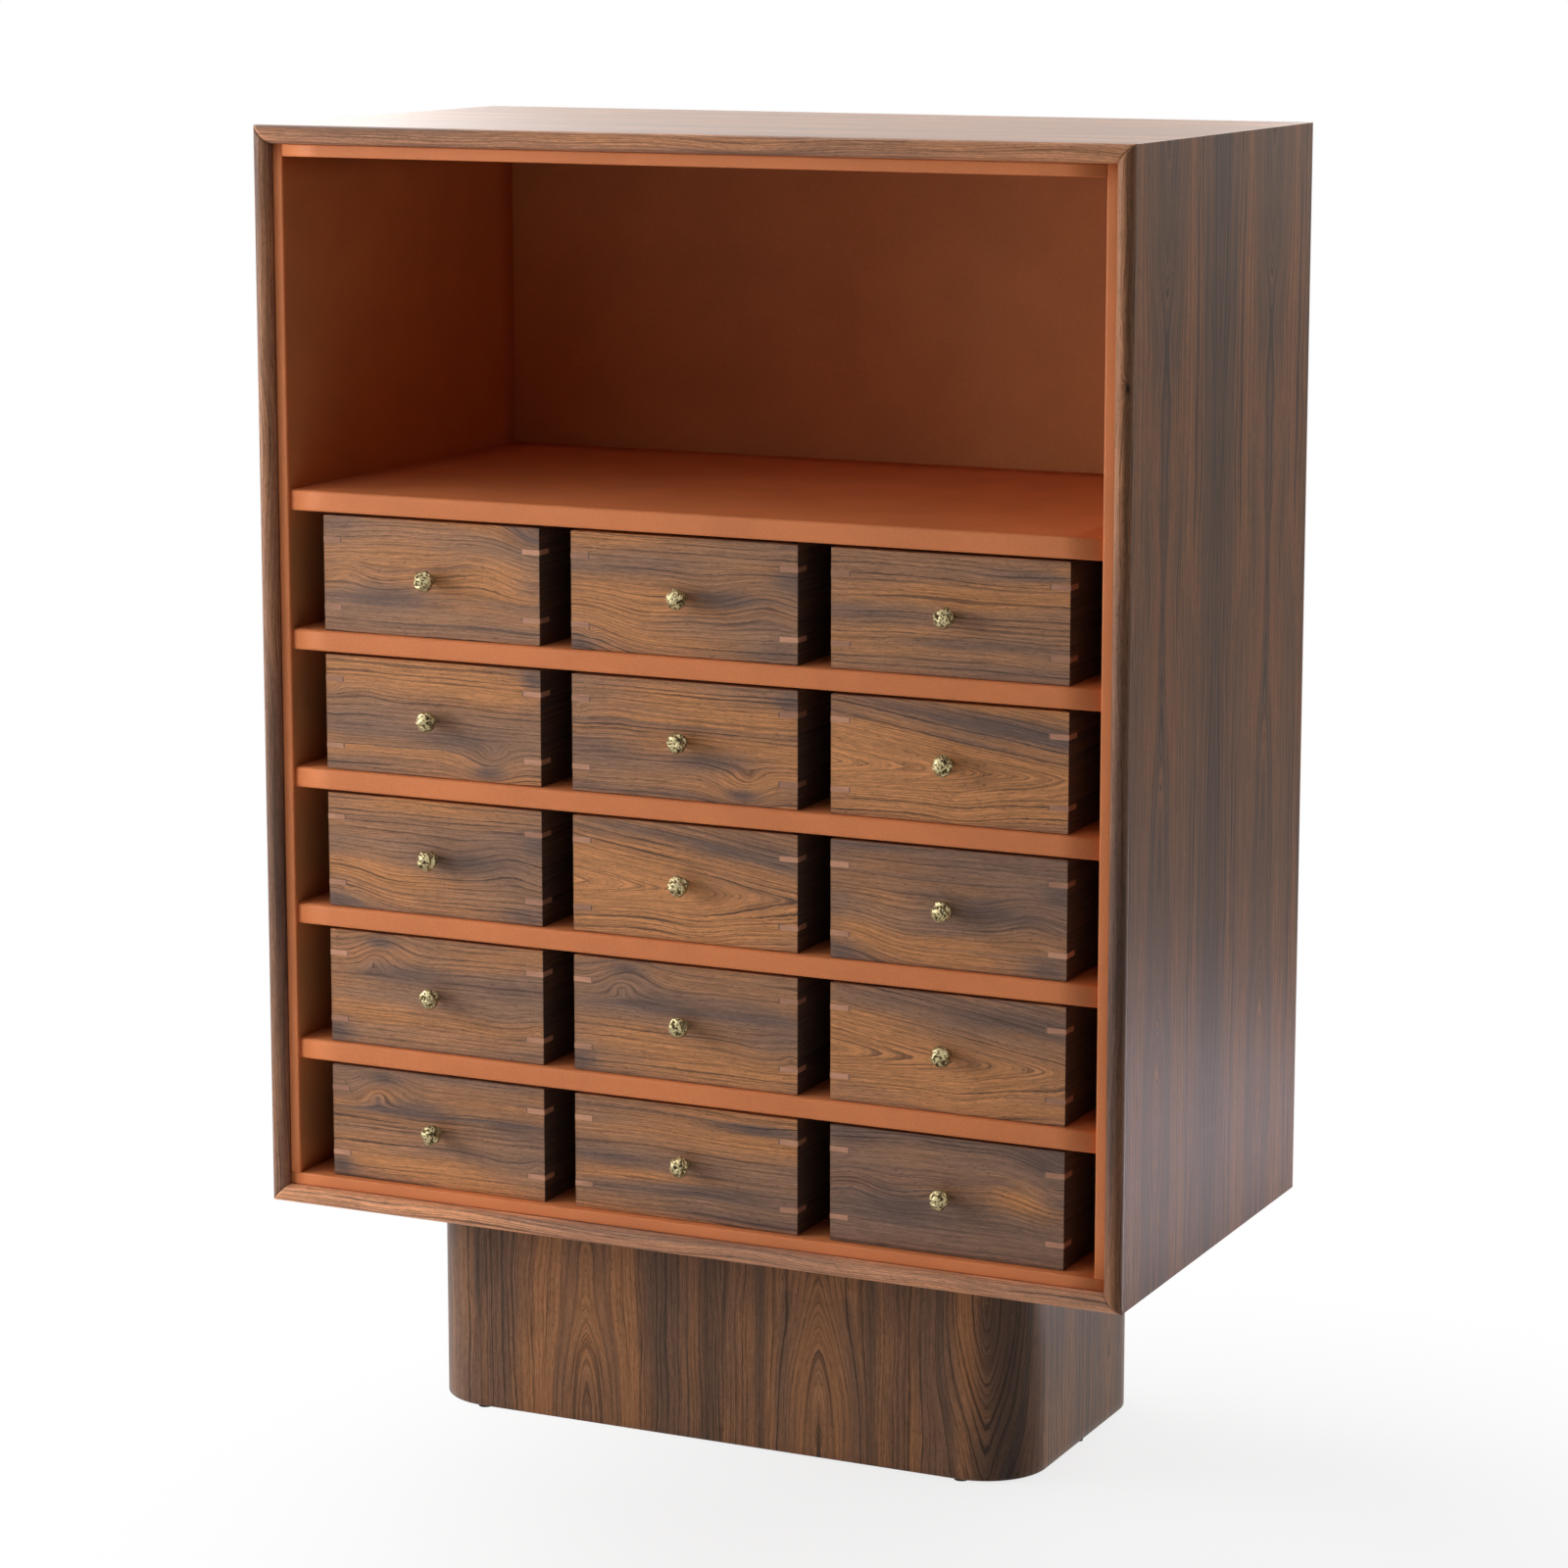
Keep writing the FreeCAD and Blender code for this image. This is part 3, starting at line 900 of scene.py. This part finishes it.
def folded_section(low, high, front, rear, fold):
    """A panel's section as (place through its thickness, y): from the rear along the low face,
    round the front edge and back along the high face."""
    arc = []
    for index in range(FOLD_STEPS + 1):
        turn = math.pi / 2 * index / FOLD_STEPS
        arc.append((fold * (1 - math.cos(turn)), front + fold * (1 - math.sin(turn))))
    section = [(low, y) for y in spaced(rear, front + 3 * fold, LEATHER_STEP)]
    section += [(low + inset, y) for inset, y in arc]
    section += [(high - inset, y) for inset, y in reversed(arc)]
    section += [(high, y) for y in spaced(front + 3 * fold, rear, LEATHER_STEP)]
    return section


def leather_panel(name, low, high, fold, node_name, pale=False):
    thin = 0 if high.x - low.x < high.z - low.z else 2
    wide = 2 - thin
    section = folded_section(low[thin], high[thin], low.y, high.y, fold)
    stations = spaced(low[wide], high[wide], LEATHER_STEP)
    points = []
    outside_painted_shade = []
    for station in stations:
        for place, y in section:
            point = Vector((0, y, 0))
            point[thin] = place
            point[wide] = station
            points.append(point)
            # Painted shade: inside the niche the lining takes the deep colour; shelves, the
            # niche's floor and a band at the front edge stay pale.
            outside_painted_shade.append(1.0 if pale or y < low.y + 2 * fold else 0.0)
    size = len(section)
    faces = tube_faces(len(stations), size)
    rounded = [index for index in range(len(faces)) if index % size != size - 1]
    part = Part()
    part.add(points, faces + cap_faces(len(stations), size), {"outside_painted_shade": outside_painted_shade}, rounded)
    part.build(name, LEATHER, "cabinet", "tan_leather", node_name)


def build_leather():
    # The niche's floor stays pale; its top lining is in painted shade.
    for name, pale in (("liner_floor", True), ("liner_top", False)):
        leather_panel(name + "_leather", *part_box(name), LINER_FOLD, name, pale)
    low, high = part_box("liner_sides")
    for name, x0, x1 in (("left", low.x, -LINER_HALF), ("right", LINER_HALF, high.x)):
        panel_low = Vector((x0, low.y, low.z))
        panel_high = Vector((x1, high.y, high.z))
        leather_panel(f"liner_{name}_leather", panel_low, panel_high, LINER_FOLD, "liner_sides")
    low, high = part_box("leather_shelves")
    for row in ROWS:
        top = high.z - (row - 1) * ROW_PITCH
        shelf_low = Vector((low.x, low.y, top - SHELF_THICKNESS))
        shelf_high = Vector((high.x, high.y, top))
        name = f"shelf_{row}_leather"
        leather_panel(name, shelf_low, shelf_high, SHELF_FOLD, "leather_shelves", pale=True)


# Drawers


# The drawer sides are cooler and much darker than the fronts: painted shade for the narrow gaps
# between the drawers.
DRAWER_SIDE_PAINTED_SHADE = {"warm": -0.5, "light": 0.42}


def build_drawer(row, column):
    body = f"drawer_r{row}c{column}"
    low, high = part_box(body + "_box")
    width, depth, height = high - low
    centre = (low + high) / 2
    seed = row * 10 + column
    figure, turned, warm = FRONTS[row, column]
    show = DrawerFront(seed, width, height, figure, turned, warm=warm, slow=3 * MM, quick=1.5 * MM)
    step, along_step = FRONT_STEPS
    fine = board_outline(WALL, height, step)
    part = Part()
    front = frame_of(Vector((centre.x, low.y, centre.z)), X, Y, Z)
    add_board(part, fine, width, front, show, along_step)
    step, along_step = DRAWER_STEPS
    coarse = board_outline(WALL, height, step)
    rear = frame_of(Vector((centre.x, high.y, centre.z)), X, -Y, Z)
    left = frame_of(Vector((low.x, centre.y, centre.z)), Y, X, Z)
    right = frame_of(Vector((high.x, centre.y, centre.z)), Y, -X, Z)
    add_board(part, coarse, width, rear, Board(seed + 100), along_step)
    add_board(part, coarse, depth, left, Board(seed + 200, **DRAWER_SIDE_PAINTED_SHADE), along_step)
    add_board(part, coarse, depth, right, Board(seed + 300, **DRAWER_SIDE_PAINTED_SHADE), along_step)
    add_drawer_floor(part, low, high, Board(seed + 400, light=1.1))
    part.build(body + "_boards", WALNUT, body, "drawer_walnut", body + "_box")


def add_drawer_floor(part, low, high, board):
    """Adds the floor panel, its edges in the grooves."""
    width, depth, height = high - low
    shrink = 2 * (WALL - FLOOR_TONGUE)
    step, along_step = TRAY_STEPS
    outline = board_outline(DRAWER_FLOOR, width - shrink, step, FLOOR_ARRIS)
    middle = (low + high) / 2
    middle.z = low.z + FLOOR_RAISE + DRAWER_FLOOR
    place = frame_of(middle, Y, -Z, X)
    add_board(part, outline, depth - shrink, place, board, along_step, False, FLOOR_ARRIS)


def build_keys(row, column):
    body = f"drawer_r{row}c{column}"
    low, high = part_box(body + "_keys")
    glue_start, glue_end = KEY_GLUE
    part = Part()
    corners = [(side_x, side_y) for side_x in (-1, 1) for side_y in (-1, 1)]
    for level in (low.z, high.z - KEY_THICKNESS):
        for side_x, side_y in corners:
            x = (high.x if side_x > 0 else low.x) + side_x * KEY_PROUD
            y = (high.y if side_y > 0 else low.y) + side_y * KEY_PROUD
            into_x = -side_x * KEY_LEG
            into_y = -side_y * KEY_LEG
            # A triangle in plan, with a dark glue line at both thin ends
            outline = [
                (x, y, 0.0),
                (x + glue_start * into_x, y, 0.0),
                (x + glue_end * into_x, y, 1.0),
                (x + into_x, y, 1.0),
                (x, y + into_y, 1.0),
                (x, y + glue_end * into_y, 1.0),
                (x, y + glue_start * into_y, 0.0),
            ]
            heights = (level, level + KEY_THICKNESS)
            points = [Vector((px, py, z)) for z in heights for px, py, dent in outline]
            dents = [dent for z in heights for px, py, dent in outline]
            size = len(outline)
            part.add(points, tube_faces(2, size) + cap_faces(2, size), {"dent": dents})
    part.build(body + "_key_set", KEY_WOOD, body, "key_wood", body + "_keys")


# The marks on a nugget: how far each goes in, as a share of the radius, and how dark it is
NUGGET_MARKS = {
    "bite": (0.18, 0.40),
    "hole": (0.13, 0.95),
    "worm": (0.07, 0.55),
    "pit": (0.08, 0.80),
}
NUGGET_MEAN = 0.97
NUGGET_SWELL = 0.26
NECK_DENT = 0.55


def nugget_point(way, seed):
    """How far out a nugget's surface lies in a direction, as a share, and how deep its dent is."""
    swell = noise.noise(way * 1.5 + Vector((seed, -seed, seed * 0.5)))
    holes = [Vector((math.sin(seed * k), -1.1, math.cos(seed * k + k))) for k in (1.7, 2.9, 4.3)]
    notch = Vector((0.9, -0.35, math.sin(seed))).normalized()
    worm = noise.noise(way * 3.2 + Vector((seed * 3, seed, 1.0)))
    pit = noise.noise(way * 5.2 + Vector((seed, 2 * seed, 0)))
    shares = {
        "bite": near((way - notch).length, 0.0, 0.45),
        "hole": max(near((way - spot.normalized()).length, 0.0, 0.20) for spot in holes),
        "worm": near(worm, 0.0, 0.06),
        "pit": smooth(pit, 0.08, 0.36),
    }
    out = NUGGET_MEAN + NUGGET_SWELL * swell
    dent = 0.0
    for mark, share in shares.items():
        deep, dark = NUGGET_MARKS[mark]
        out -= deep * share
        dent += dark * share
    return min(1.0, out), min(1.0, dent)


def add_nugget(part, centre, seed):
    ball = bmesh.new()
    bmesh.ops.create_icosphere(ball, subdivisions=5, radius=1.0)
    points = []
    dents = []
    for vertex in ball.verts:
        way = vertex.co.normalized()
        out, dent = nugget_point(way, seed)
        reach = Vector(radius * share * out for radius, share in zip(NUGGET_RADII, way))
        points.append(centre + reach)
        dents.append(dent)
    faces = [[vertex.index for vertex in face.verts] for face in ball.faces]
    ball.free()
    part.add(points, faces, {"dent": dents}, range(len(faces)))


def add_neck(part, centre, seat_y):
    """Adds the neck, with a small collar against the drawer front."""
    profile = (
        (seat_y, COLLAR_RADIUS),
        (seat_y - COLLAR[0], COLLAR_RADIUS),
        (seat_y - COLLAR[1], NECK_RADIUS),
        (centre.y, NECK_RADIUS),
    )
    points = []
    for y, radius in profile:
        for side in range(NECK_SIDES):
            turn = 2 * math.pi * side / NECK_SIDES
            across = radius * math.cos(turn)
            points.append(Vector((centre.x + across, y, centre.z + radius * math.sin(turn))))
    faces = tube_faces(len(profile), NECK_SIDES)
    values = {"dent": [NECK_DENT] * len(points)}
    rounded = range(len(faces))
    part.add(points, faces + cap_faces(len(profile), NECK_SIDES), values, rounded)


def build_knob(row, column):
    body = f"drawer_r{row}c{column}"
    low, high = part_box(body + "_knob")
    centre = Vector(((low.x + high.x) / 2, low.y + NUGGET_MIDDLE, (low.z + high.z) / 2))
    part = Part()
    add_nugget(part, centre, row * 5.3 + column * 11.7)
    add_neck(part, centre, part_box(body + "_box")[0].y)
    part.build(body + "_nugget", BRASS, body, "cast_brass", body + "_knob")


# Plinth skirt: veneer leaves wrapped round a ring with large corners. Places along it are
# measured from the middle of the front, rightwards positive.


PLINTH_LEAVES = (
    (-0.46, -0.60), (-0.25, -0.36), (8 * MM, -0.140), (0.205, 0.112), (0.42, 0.285),
    (0.62, 0.52), (1.0, 0.78),
)
PLINTH_LEAN = (0.0, -0.12, 0.14, 0.12, -0.22, 0.1, -0.1)
# The bands between the front corners are the veneer's own tone; the two corner bands are painted
# light and shade.
PLINTH_BANDS_AND_PAINTED_LIGHT = (
    # Painted light: the left front corner is written lighter.
    (-0.290, 50 * MM, -0.4, 0.22),
    (-0.140, 40 * MM, 0.35, 0.05),
    (-0.065, 18 * MM, -0.35, -0.06),
    (-0.008, 12 * MM, -0.6, -0.12),
    (0.030, 14 * MM, 0.2, 0.0),
    (0.050, 6 * MM, -0.6, -0.10),
    (0.112, 36 * MM, 0.5, 0.02),
    (0.166, 7 * MM, -0.6, -0.10),
    (0.205, 24 * MM, 0.0, -0.06),
    (0.262, 10 * MM, 0.5, 0.02),
    # Painted shade: the right front corner is written darker.
    (0.308, 24 * MM, -0.6, -0.28),
)


def plinth_crest(s, number):
    own = noise.noise(Vector((s * 8.0, 1.7, number * 3.3))) * 30 * MM
    return own + PLINTH_LEAN[number] * s


def skirt_sides(low, high):
    """Half of the skirt's outline from the middle of the front: each stretch is its length, the
    place where it starts, its heading and whether it turns."""
    straight_x = high.x - PLINTH_RADIUS
    straight_y = high.y - low.y - 2 * PLINTH_RADIUS
    quarter = math.pi / 2 * PLINTH_RADIUS
    front = Vector((0, low.y, 0))
    first = front + straight_x * X
    second = first + PLINTH_RADIUS * (X + Y)
    third = second + straight_y * Y
    fourth = third + PLINTH_RADIUS * (Y - X)
    return (
        (straight_x, front, X, False),
        (quarter, first, X, True),
        (straight_y, second, Y, False),
        (quarter, third, Y, True),
        (straight_x, fourth, -X, False),
    )


def skirt_point(sides, travel, inset):
    """The point at a distance along the skirt from the middle of its front."""
    left = abs(travel)
    number = 0
    while number < len(sides) - 1 and left > sides[number][0]:
        left -= sides[number][0]
        number += 1
    start, heading, turns = sides[number][1:]
    inward = Vector((-heading.y, heading.x, 0))
    if turns:
        turn = left / PLINTH_RADIUS
        pivot = start + inward * PLINTH_RADIUS
        radius = PLINTH_RADIUS - inset
        point = pivot + (heading * math.sin(turn) - inward * math.cos(turn)) * radius
    else:
        point = start + heading * left + inward * inset
    if travel < 0:
        point.x = -point.x
    return point


def build_plinth():
    low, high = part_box("plinth_skirt")
    sides = skirt_sides(low, high)
    half_loop = sum(side[0] for side in sides)
    waves = {"slow": 7 * MM, "quick": 4 * MM}
    board = Leaves(21, PLINTH_LEAVES, plinth_crest, bands=PLINTH_BANDS_AND_PAINTED_LIGHT, **waves)
    step, up_step = SKIRT_STEPS
    places = spaced(-half_loop, half_loop, step)[:-1]
    places = sorted(places + [seam for seam in board.seams if seam < half_loop])
    top = high.z - SKIRT_SINK
    middle_z = (low.z + high.z) / 2
    levels = [(low.z, SKIRT_ARRIS)]
    levels += [(z, 0.0) for z in spaced(low.z + SKIRT_ARRIS, top, up_step)]
    levels += [(top, SKIRT), (low.z, SKIRT)]
    points = []
    values = {"grain": [], "tone": []}
    for z, inset in levels:
        for travel in places:
            point = skirt_point(sides, travel, inset)
            point.z = z
            points.append(point)
            values["grain"].append(board.grain(z - middle_z, inset, travel))
            values["tone"].append(board.tone(z, travel))
    size = len(places)
    outer = range(size, size * (len(levels) - 3))
    part = Part()
    part.add(points, tube_faces(len(levels), size, ring=True), values, outer)
    part.build("plinth_skirt_veneer", PLINTH_VENEER, "cabinet", "walnut", "plinth_skirt")


# Nodes kept as they are, with finished materials


def build_kept():
    kept = {
        "drawer_guides": GUIDE_WOOD,
        "plinth_board": GUIDE_WOOD,
        "floor_glides": GLIDE,
        "liner_back": LEATHER,
    }
    for name, material in kept.items():
        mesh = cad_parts[name].data
        mesh.materials.clear()
        mesh.materials.append(material)


# Stage: floor, world, lamps and camera


FLOOR_HALF = 14.0
FLOOR_LIFT = 0.78
FLOOR_GREYS = ((0.84, 0.835, 0.83, 1.0), (0.88, 0.875, 0.87, 1.0))
# Where the object's shadow falls, and how far from there the floor turns white
SHADOW_PLACE = (0.45, -0.35, 0.0)
SHADOW_REACH = (0.3, 1.0)
AMBIENT = 0.01
WHITE = (1, 1, 1, 1)


def seen_rays(tree):
    """One for the rays that show the stage itself, directly, in a reflection or through glass."""
    path = node(tree, "ShaderNodeLightPath").outputs
    seen = calc(tree, "MAXIMUM", path["Is Camera Ray"], path["Is Glossy Ray"])
    return calc(tree, "MAXIMUM", seen, path["Is Transmission Ray"])


def output_mix(tree, output_kind, share, first, second):
    inputs = {0: share, 1: first.outputs[0], 2: second.outputs[0]}
    mixed = node(tree, "ShaderNodeMixShader", inputs)
    node(tree, output_kind, {"Surface": mixed.outputs[0]})


def build_floor():
    """Pale floor. What the camera and reflections see of it is lifted towards white, fully so
    further out, and keeps the object's soft shadow where that falls."""
    material, tree = new_material("studio_floor")
    where = node(tree, "ShaderNodeTexCoord").outputs["Object"]
    apart = node(tree, "ShaderNodeVectorMath", {0: where, 1: SHADOW_PLACE}, operation="DISTANCE")
    share = ramp(tree, apart.outputs["Value"], *SHADOW_REACH, FLOOR_LIFT, 1.0)
    share = times(tree, share, seen_rays(tree))
    grit = noise_node(tree, where, 2.0, scale=60.0)
    pale = mix_colour(tree, grit, *FLOOR_GREYS)
    ground = node(tree, "ShaderNodeBsdfPrincipled", {"Base Color": pale, "Roughness": 0.8})
    white = node(tree, "ShaderNodeEmission", {"Strength": 1.0})
    output_mix(tree, "ShaderNodeOutputMaterial", share, ground, white)
    mesh = bpy.data.meshes.new("studio_floor")
    corners = [(-1, -1), (1, -1), (1, 1), (-1, 1)]
    mesh.from_pydata([(x * FLOOR_HALF, y * FLOOR_HALF, 0) for x, y in corners], [], [(0, 1, 2, 3)])
    mesh.materials.append(material)
    floor = add_object("studio_floor", mesh)


def build_world():
    """White where it is seen or mirrored. The object itself is lit by the lamps."""
    world = bpy.data.worlds.new("studio")
    bpy.context.scene.world = world
    world.use_nodes = True
    tree = world.node_tree
    tree.nodes.clear()
    ambient = node(tree, "ShaderNodeBackground", {"Color": WHITE, "Strength": AMBIENT})
    shown = node(tree, "ShaderNodeBackground", {"Color": WHITE, "Strength": 1.0})
    output_mix(tree, "ShaderNodeOutputWorld", seen_rays(tree), ambient, shown)


# The softboxes round the cabinet: name, degrees round from the front to the right, degrees up,
# metres away, metres wide and watts
SOFTBOXES = (
    ("left", -65, 12, 3.2, 1.8, 43),
    ("left_near", -60, 8, 2.4, 1.3, 17),
    ("left_front", -50, 15, 4.0, 1.8, 5),
    ("left_rear", -125, 35, 4.0, 3.0, 86),
    ("rear", 177, 15, 4.0, 1.8, 50),
    ("right_rear", 122, 35, 4.0, 3.0, 60),
    ("above", 0, 80, 3.0, 1.8, 14),
    ("front_low", -25, 15, 4.0, 1.8, 5),
    ("front_high", -25, 45, 4.0, 1.8, 10),
)
LAMP_TARGET = Vector((0, 0, 0.75))
TABLE_PLACE = Vector((1.0, 0.88, 0.02))
TABLE_SIZE = (0.6, 1.3)
TABLE_POWER = 17
TABLE_COLOUR = (0.93, 0.87, 1.0)


def area_lamp(name, location, target, size, power):
    """A rectangular softbox that shines towards the target."""
    lamp = bpy.data.lights.new(name, "AREA")
    lamp.shape = "RECTANGLE"
    lamp.size, lamp.size_y = size
    lamp.energy = power
    holder = add_object(name, lamp)
    holder.location = location
    holder.rotation_euler = (target - location).to_track_quat("-Z", "Y").to_euler()
    return holder


def build_lamps():
    for name, azimuth, elevation, distance, side, power in SOFTBOXES:
        a, e = math.radians(azimuth), math.radians(elevation)
        way = Vector((math.sin(a) * math.cos(e), -math.cos(a) * math.cos(e), math.sin(e)))
        spot = LAMP_TARGET + way * distance
        area_lamp("softbox_" + name, spot, LAMP_TARGET, (side, side), power)
    # A light table on the floor, mirrored low down in the right side and not seen itself
    table = area_lamp("light_table", TABLE_PLACE, TABLE_PLACE + Z, TABLE_SIZE, TABLE_POWER)
    table.data.color = TABLE_COLOUR
    table.visible_camera = False
    table.visible_diffuse = False


CAMERA_LENS = 105.63
CAMERA_SENSOR = 36.0
CAMERA_SHIFT = -0.05
CAMERA_AZIMUTH = 25.274
CAMERA_ELEVATION = 9.748
CAMERA_PLACE = (1.89435, -4.01132, 1.4665)


def build_camera():
    data = bpy.data.cameras.new("photo_camera")
    data.lens = CAMERA_LENS
    data.sensor_width = CAMERA_SENSOR
    data.shift_y = CAMERA_SHIFT
    holder = add_object("photo_camera", data)
    holder.location = CAMERA_PLACE
    turns = (90 - CAMERA_ELEVATION, 0.0, CAMERA_AZIMUTH)
    holder.rotation_euler = [math.radians(turn) for turn in turns]
    bpy.context.scene.camera = holder


build_case()
build_back()
build_lipping()
build_leather()
for drawer_row in ROWS:
    for drawer_column in COLUMNS:
        build_drawer(drawer_row, drawer_column)
        build_keys(drawer_row, drawer_column)
        build_knob(drawer_row, drawer_column)
build_plinth()
build_kept()
build_floor()
build_world()
build_lamps()
build_camera()
bpy.context.scene.view_settings.view_transform = "Standard"
